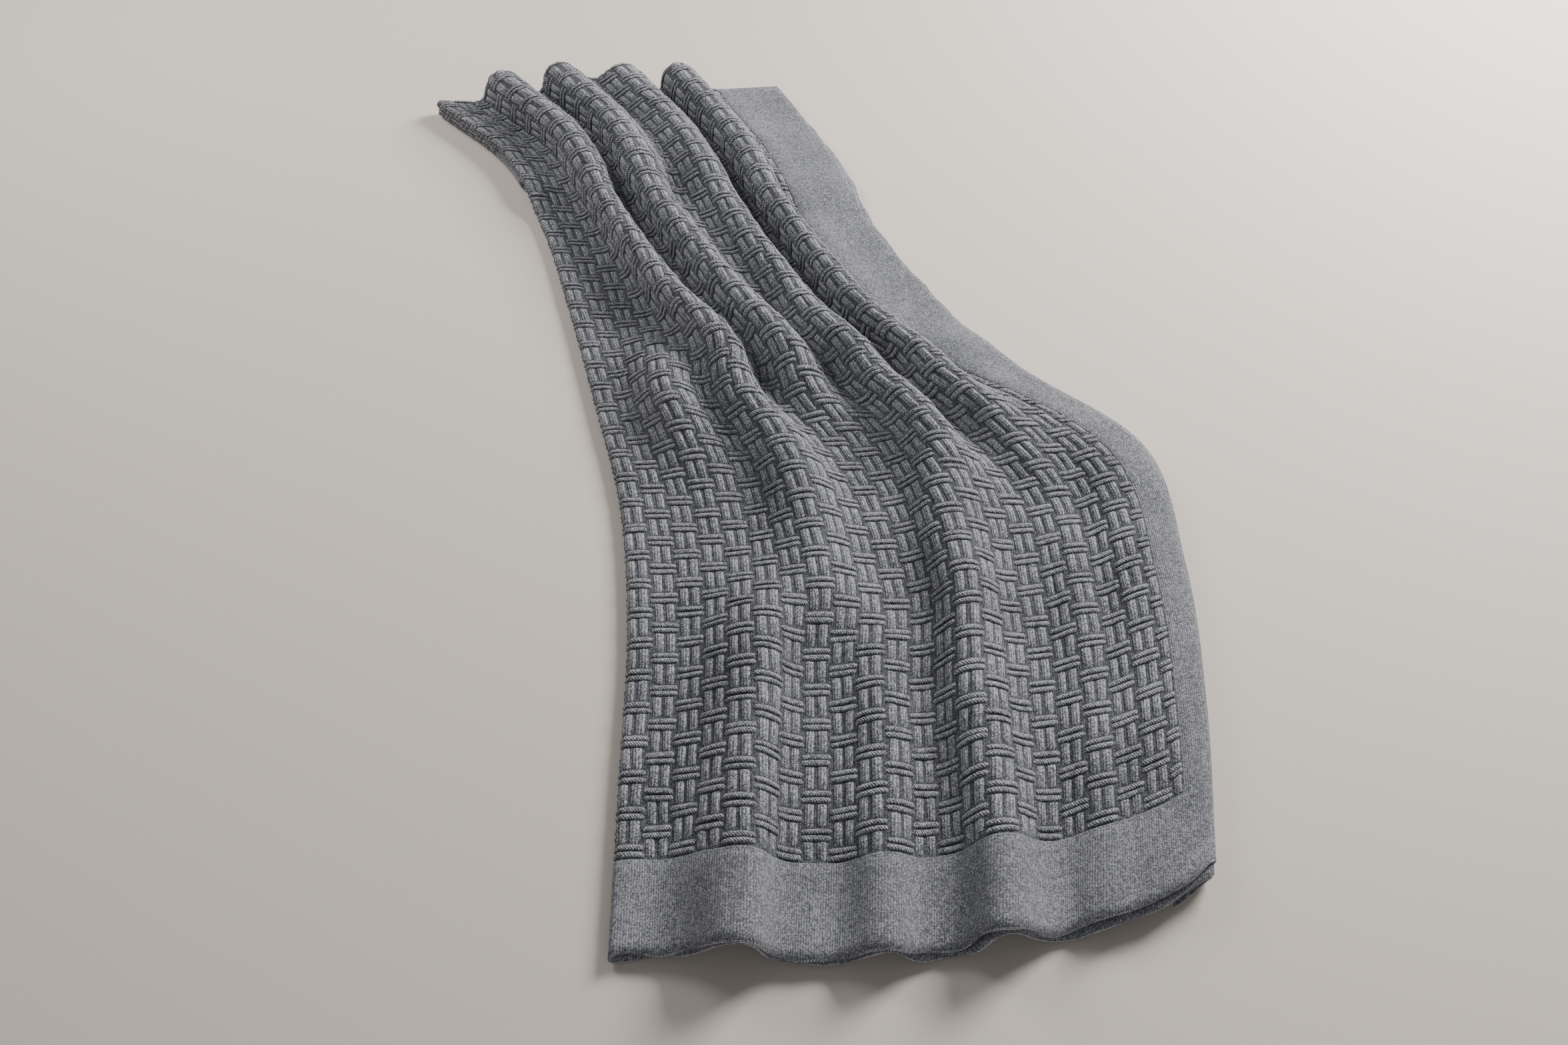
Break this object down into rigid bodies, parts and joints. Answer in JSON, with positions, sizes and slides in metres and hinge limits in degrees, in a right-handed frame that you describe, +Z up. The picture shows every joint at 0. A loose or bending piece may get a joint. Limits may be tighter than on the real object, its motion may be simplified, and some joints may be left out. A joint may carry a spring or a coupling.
{
  "type": "basket-weave knit throw blanket, folded lengthwise and laid out",
  "caption": "Knitted throw folded in half lengthwise and laid out in long soft folds, its far end and the near half of its open side turned under, with a plain knitted border on its open sides.",
  "frame": {"origin": "centre of the bounding box's base, on the floor under the throw", "axes": "+Z up, +Y along the throw from the near hem to the gathered, folded-under far end, X across it with the lengthwise fold on the -X side and the open side on the +X side"},
  "size_m": [0.7298, 1.302, 0.0754],
  "materials": {
    "wool_knit": "matte heathered wool knit, slightly fuzzy"
  },
  "bodies": {
    "root": {"knit_throw": "wool_knit"}
  },
  "joints": []
}
